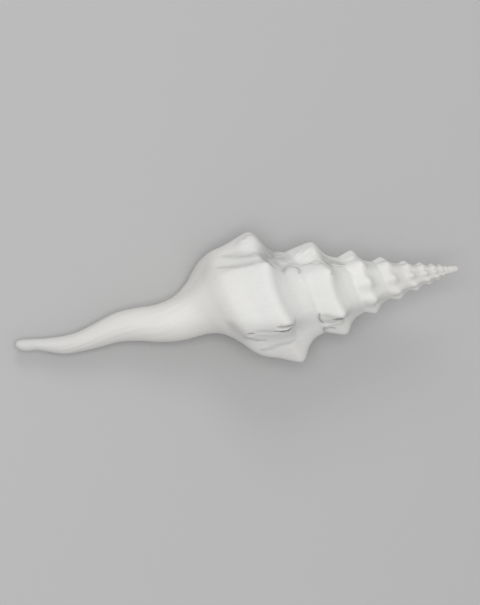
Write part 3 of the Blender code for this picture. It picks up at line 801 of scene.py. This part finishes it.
def spare_on_canal(edge):
    """Picks every other column of the canal, which is thin."""
    a, b = edge.verts
    column = a.co.x - EDGE_COLUMNS
    return (a.co.x == b.co.x and min(a.co.y, b.co.y) > BASE_ROWS
            and 0 < column < COLUMNS_PER_TURN and column % 2 != 0)


def make_finer(sheet, angles, distances, times):
    """Halves the squares of a flat sheet in one zone of the outside."""
    def within(corner):
        column, row, _ = corner.co
        angle = column_angle(column, row)
        distance = row_distance(row, angle)
        return angles[0] < angle < angles[1] and distances[0] < distance < distances[1]

    for _ in range(times):
        zone = {corner for corner in sheet.verts if within(corner)}
        edges = [edge for edge in sheet.edges if edge.verts[0] in zone and edge.verts[1] in zone]
        bmesh.ops.subdivide_edges(sheet, edges=edges, cuts=1, use_grid_fill=True)


def mark_growth(sheet):
    """Writes the UV map that follows the growth: turns along U, the phase on the whorl along V."""
    growth = sheet.loops.layers.uv.new("growth")
    for face in sheet.faces:
        middle_row = face.calc_center_median().y
        whorl = math.ceil(middle_row / ROWS_PER_WHORL) if middle_row < 0 else 0
        for corner in face.loops:
            column, row, _ = corner.vert.co
            inner, outer = seam_angles(row)
            across = min(max((column - EDGE_COLUMNS) / COLUMNS_PER_TURN, 0.0), 1.0)
            angle = blend(inner, outer, across)
            phase = SUTURE_PHASE + row / ROWS_PER_WHORL - whorl
            if row > 0:
                _, phase = growth_place(angle, row)
            corner[growth].uv = (angle / 360 + whorl, phase)


def painted_ramp_shade(angle, row):
    """How much shade is painted: 1 on the ramps between a suture and the keel below it, 0
    elsewhere, soft at the keel.
    """
    growth_angle, phase = growth_place(angle, row)
    share = 1 - smooth_step(*RAMP_KEEL_PHASES, phase)
    if growth_angle < LIP_ANGLE - 360:
        share += smooth_step(*RAMP_SUTURE_PHASES, phase)
    return share * blend(*RAMP_SHARES, smooth_step(*RAMP_ANGLES, growth_angle))


def paint_dirt_and_shade(sheet):
    """Writes how much dirt and painted shade darken each corner of the outside, and how much shade
    is painted on its ramp, from 0 to 1.
    """
    dirt_and_shade = sheet.verts.layers.float.new("dirt_and_shade")
    ramp = sheet.verts.layers.float.new("ramp")
    for corner in sheet.verts:
        column, row, _ = corner.co
        angle = column_angle(column, row)
        distance = row_distance(row, angle)
        # How much shade is painted on the ramp.
        corner[ramp] = painted_ramp_shade(angle, row)
        if MARK_ZONE[0] < distance < MARK_ZONE[1] and abs(angle) < MARK_ZONE[2]:
            # Dirt and painted shade of the marks.
            corner[dirt_and_shade] = marks_at(angle, distance, outer_radius(angle, distance))[1]


def mark_inside(sheet):
    """Writes how far inside the aperture each corner of the cavity lies, from 0 to 1."""
    inside = sheet.verts.layers.float.new("inside")
    for corner in sheet.verts:
        from_lip = min(corner.co.x, CAVITY_COLUMNS - corner.co.x)
        corner[inside] = smooth_step(0.0, POLISH_STARTS, from_lip)


def bend(sheet, point_at):
    """Moves each corner of a flat sheet to its place on the shell."""
    for corner in sheet.verts:
        corner.co = point_at(corner.co.x, corner.co.y)


def make_shell():
    """The shell as one mesh: the bent outside, joined to the bent cavity along the lips."""
    outside = flat_sheet(COLUMNS, FIRST_ROW, LAST_ROW)
    for every, whorls_back in SPARE_COLUMNS:
        leave_out_lines(outside, spare_in_old_whorls(every, whorls_back))
    leave_out_lines(outside, spare_on_canal)
    for angles, distances, times in FINE_ZONES:
        make_finer(outside, angles, distances, times)
    mark_growth(outside)
    paint_dirt_and_shade(outside)
    outside.verts.layers.float.new("inside")
    bend(outside, outside_point)

    cavity = flat_sheet(CAVITY_COLUMNS, LIP_TOP_ROW, BASE_ROWS)
    cavity.loops.layers.uv.new("growth")
    cavity.verts.layers.float.new("dirt_and_shade")
    cavity.verts.layers.float.new("ramp")
    mark_inside(cavity)
    bend(cavity, cavity_point)

    mesh = bpy.data.meshes.new("shell_outside")
    outside.to_mesh(mesh)
    cavity.from_mesh(mesh)
    outside.free()
    bpy.data.meshes.remove(mesh)

    bmesh.ops.remove_doubles(cavity, verts=cavity.verts, dist=MERGE_DISTANCE)
    bmesh.ops.dissolve_degenerate(cavity, edges=cavity.edges, dist=MERGE_DISTANCE / 2)
    bmesh.ops.recalc_face_normals(cavity, faces=cavity.faces)
    mesh = bpy.data.meshes.new("wavy_spindle_shell")
    cavity.to_mesh(mesh)
    cavity.free()
    mesh.shade_smooth()
    shell = bpy.data.objects.new("wavy_spindle_shell", mesh)
    bpy.context.scene.collection.objects.link(shell)
    return shell


def tie(links, value, socket):
    """Feeds a socket from another node's output, or sets it to a plain value."""
    if isinstance(value, bpy.types.NodeSocket):
        links.new(value, socket)
    else:
        socket.default_value = value


def mixed(nodes, links, share, first, second):
    """The mix of two colours."""
    mix = nodes.new("ShaderNodeMix")
    mix.data_type = "RGBA"
    tie(links, share, mix.inputs["Factor"])
    tie(links, first, mix.inputs["A"])
    tie(links, second, mix.inputs["B"])
    return mix.outputs["Result"]


def attribute(nodes, name):
    """One of the values that the mesh's corners carry."""
    reader = nodes.new("ShaderNodeAttribute")
    reader.attribute_name = name
    return reader.outputs["Fac"]


def grain(nodes, links, place, scale, detail):
    """Procedural noise from 0 to 1."""
    noise_node = nodes.new("ShaderNodeTexNoise")
    noise_node.inputs["Scale"].default_value = scale
    noise_node.inputs["Detail"].default_value = detail
    links.new(place, noise_node.inputs["Vector"])
    return noise_node.outputs["Fac"]


def fitted(nodes, links, value, limits):
    """A value carried over from one range to another, and kept within it."""
    fit = nodes.new("ShaderNodeMapRange")
    links.new(value, fit.inputs["Value"])
    for name, limit in zip(("From Min", "From Max", "To Min", "To Max"), limits):
        fit.inputs[name].default_value = limit
    return fit.outputs["Result"]


def scaled(nodes, links, place, scale):
    """A place stretched along each of its axes."""
    mapping = nodes.new("ShaderNodeMapping")
    mapping.inputs["Scale"].default_value = scale
    links.new(place, mapping.inputs["Vector"])
    return mapping.outputs["Vector"]


def raised(nodes, links, height, strength, distance, below=None):
    """A bump of a height over the bumps below it."""
    bump = nodes.new("ShaderNodeBump")
    bump.inputs["Strength"].default_value = strength
    bump.inputs["Distance"].default_value = distance
    links.new(height, bump.inputs["Height"])
    if below:
        links.new(below, bump.inputs["Normal"])
    return bump.outputs["Normal"]


def shell_material():
    """White shell: warm clouds, growth lines, greyer ends, dirt and painted shade in the scars,
    painted shade in the hollows and on the ramps, a soft gloss.
    """
    material = bpy.data.materials.new("white_shell")
    material.use_nodes = True
    nodes = material.node_tree.nodes
    links = material.node_tree.links
    shader = nodes["Principled BSDF"]
    object_place = nodes.new("ShaderNodeTexCoord").outputs["Object"]
    growth_map = nodes.new("ShaderNodeUVMap")
    growth_map.uv_map = "growth"
    growth_uv = growth_map.outputs["UV"]
    inside = attribute(nodes, "inside")
    along = nodes.new("ShaderNodeSeparateXYZ")
    links.new(object_place, along.inputs["Vector"])
    along_x = along.outputs["X"]

    clouds = grain(nodes, links, object_place, *CLOUD_GRAIN)
    warm_share = fitted(nodes, links, clouds, CLOUD_RANGE)
    colour = mixed(nodes, links, warm_share, WHITE, WARM_WHITE)
    for limits, tint in ((ROOT_RANGE, ROOT_WHITE), (CANAL_RANGE, CANAL_GREY),
                         (SPIRE_RANGE, SPIRE_WHITE)):
        colour = mixed(nodes, links, fitted(nodes, links, along_x, limits), colour, tint)
    # Painted shade on the ramps.
    colour = mixed(nodes, links, attribute(nodes, "ramp"), colour, RAMP_SHADE_GREY)
    to_apex = fitted(nodes, links, along_x, APEX_RANGE)
    colour = mixed(nodes, links, to_apex, colour, APEX_GREY)
    lines = grain(nodes, links, scaled(nodes, links, growth_uv, LINE_STRETCH), *LINE_GRAIN)
    line_share = fitted(nodes, links, lines, LINE_RANGE)
    colour = mixed(nodes, links, line_share, colour, LINE_GREY)
    spots = grain(nodes, links, object_place, *SPOT_GRAIN)
    spot_share = fitted(nodes, links, spots, SPOT_RANGE)
    colour = mixed(nodes, links, spot_share, colour, LINE_GREY)
    colour = mixed(nodes, links, inside, colour, PORCELAIN)
    # Dirt and painted shade in the scars, and painted shade in the hollows, valleys, folds and
    # wrinkles.
    colour = mixed(nodes, links, attribute(nodes, "dirt_and_shade"), colour, DIRT_AND_PAINTED_SHADE)
    links.new(colour, shader.inputs["Base Color"])

    rough_grain = grain(nodes, links, object_place, *ROUGH_GRAIN)
    rough = fitted(nodes, links, rough_grain, ROUGH_RANGE)
    polish = nodes.new("ShaderNodeMix")
    links.new(inside, polish.inputs["Factor"])
    links.new(rough, polish.inputs["A"])
    polish.inputs["B"].default_value = POLISHED_ROUGHNESS
    links.new(polish.outputs["Result"], shader.inputs["Roughness"])
    shader.inputs["Specular IOR Level"].default_value = SPECULAR_LEVEL

    normal = raised(nodes, links, lines, *LINE_BUMP)
    threads = grain(nodes, links, scaled(nodes, links, growth_uv, THREAD_STRETCH), *THREAD_GRAIN)
    normal = raised(nodes, links, threads, *THREAD_BUMP, normal)
    pores = grain(nodes, links, object_place, *PORE_GRAIN)
    normal = raised(nodes, links, pores, *PORE_BUMP, normal)
    links.new(normal, shader.inputs["Normal"])
    return material


def make_floor():
    """A plain pale floor, which belongs to the picture and not to the shell."""
    sheet = bmesh.new()
    bmesh.ops.create_grid(sheet, x_segments=1, y_segments=1, size=FLOOR_HALF_WIDTH)
    mesh = bpy.data.meshes.new("floor")
    sheet.to_mesh(mesh)
    sheet.free()
    floor = bpy.data.objects.new("floor", mesh)
    bpy.context.scene.collection.objects.link(floor)
    material = bpy.data.materials.new("pale_floor")
    material.use_nodes = True
    shader = material.node_tree.nodes["Principled BSDF"]
    shader.inputs["Base Color"].default_value = FLOOR_GREY
    shader.inputs["Roughness"].default_value = FLOOR_ROUGHNESS
    mesh.materials.append(material)


def picture_frame():
    """The photograph's frame of directions, in the lying shell's space, and its middle point."""
    turn = (LIE.to_3x3() @ Matrix.Rotation(math.radians(-VIEW_TIP), 3, "Y")
            @ Matrix.Rotation(math.radians(-VIEW_TURN), 3, "Z"))
    middle = LIE.translation + turn @ Vector((*VIEW_MIDDLE, 0.0))
    return turn, middle


def make_camera():
    """The photograph's view of the shell's back."""
    turn, middle = picture_frame()
    camera = bpy.data.objects.new("camera", bpy.data.cameras.new("camera"))
    bpy.context.scene.collection.objects.link(camera)
    camera.data.sensor_fit = "VERTICAL"
    camera.data.sensor_height = SENSOR_HEIGHT
    camera.data.lens = SENSOR_HEIGHT * CAMERA_DISTANCE / VIEW_HEIGHT
    camera.data.clip_start = CLIP_START
    camera.matrix_world = (Matrix.Translation(middle + turn @ Vector((0, 0, CAMERA_DISTANCE)))
                           @ turn.to_4x4())
    bpy.context.scene.camera = camera


def soft_light(name, towards, size, power):
    """A square soft box that looks at the shell from a direction of the picture's own frame."""
    turn, middle = picture_frame()
    lamp = bpy.data.lights.new(name, "AREA")
    lamp.size = size
    lamp.energy = power
    light = bpy.data.objects.new(name, lamp)
    bpy.context.scene.collection.objects.link(light)
    away = turn @ Vector(towards)
    light.matrix_world = (Matrix.Translation(middle + away)
                          @ away.to_track_quat("Z", "Y").to_matrix().to_4x4())


def make_lights():
    """Two soft boxes in an evenly bright studio."""
    soft_light("front_light", *FRONT_LIGHT)
    soft_light("top_light", *TOP_LIGHT)
    world = bpy.data.worlds.new("studio")
    world.use_nodes = True
    background = world.node_tree.nodes["Background"]
    background.inputs["Color"].default_value = STUDIO_WHITE
    background.inputs["Strength"].default_value = STUDIO_STRENGTH
    bpy.context.scene.world = world
    bpy.context.scene.view_settings.view_transform = "Standard"


noise.seed_set(RAGGED_SEED)
shell = make_shell()
shell.data.materials.append(shell_material())
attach(shell, "root")
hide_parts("shell")
make_floor()
make_camera()
make_lights()
